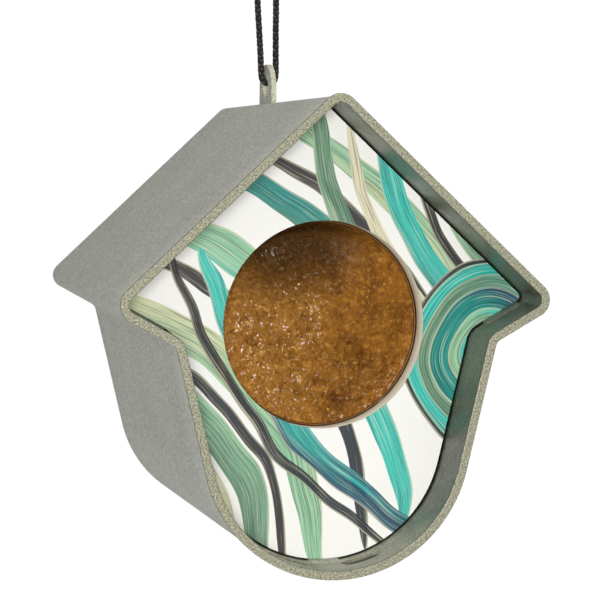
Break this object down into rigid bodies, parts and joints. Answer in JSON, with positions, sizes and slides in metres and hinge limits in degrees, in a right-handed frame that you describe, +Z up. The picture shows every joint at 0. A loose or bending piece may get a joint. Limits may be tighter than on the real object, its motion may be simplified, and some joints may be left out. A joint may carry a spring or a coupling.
{
  "type": "hanging bird feeder",
  "caption": "House-shaped hanging bird feeder: moulded shell with pitched roof and round bottom, removable printed panel with a round feeding hole, slide-in pot of peanut butter and cord loop.",
  "frame": {"origin": "the point where the cord loop is hung up, under the knot and straight above the hanger eye", "axes": "+Z up, -Y out of the open front, +X to the right seen from the front; the house hangs nosed down by 5 degrees about X"},
  "size_m": [0.1578, 0.176, 0.2446],
  "materials": {
    "shell_plastic": "matt recycled plastic with fine light and dark flecks",
    "eye_plastic": "matt recycled plastic",
    "panel_board": "pale fibre board",
    "printed_sheet": "satin printed sheet with curved ribbons in greens, teals and charcoal on white",
    "clear_plastic": "clear, glossy",
    "food": "oily, lumpy peanut butter",
    "cord": "black round braid"
  },
  "bodies": {
    "cord": {"cord_loop": "cord", "cord_knot": "cord"},
    "house": {"house_shell": "shell_plastic", "hanger_eye": "eye_plastic"},
    "panel": {"front_panel": "panel_board", "panel_print": "printed_sheet"},
    "jar": {"food_jar": "clear_plastic", "peanut_butter": "food"}
  },
  "joints": [
    {"name": "house_swing", "type": "hinge", "parent": "cord", "child": "house", "pos_m": [0, 0, -0.045], "axis": [1, 0, 0], "range_deg": [-30, 30]},
    {"name": "panel_pull", "type": "slide", "parent": "house", "child": "panel", "axis": [0, -0.9962, -0.0872], "range_m": [0, 0.03]},
    {"name": "jar_slide", "type": "slide", "parent": "house", "child": "jar", "axis": [0, -0.9962, -0.0872], "range_m": [0, 0.14]}
  ]
}
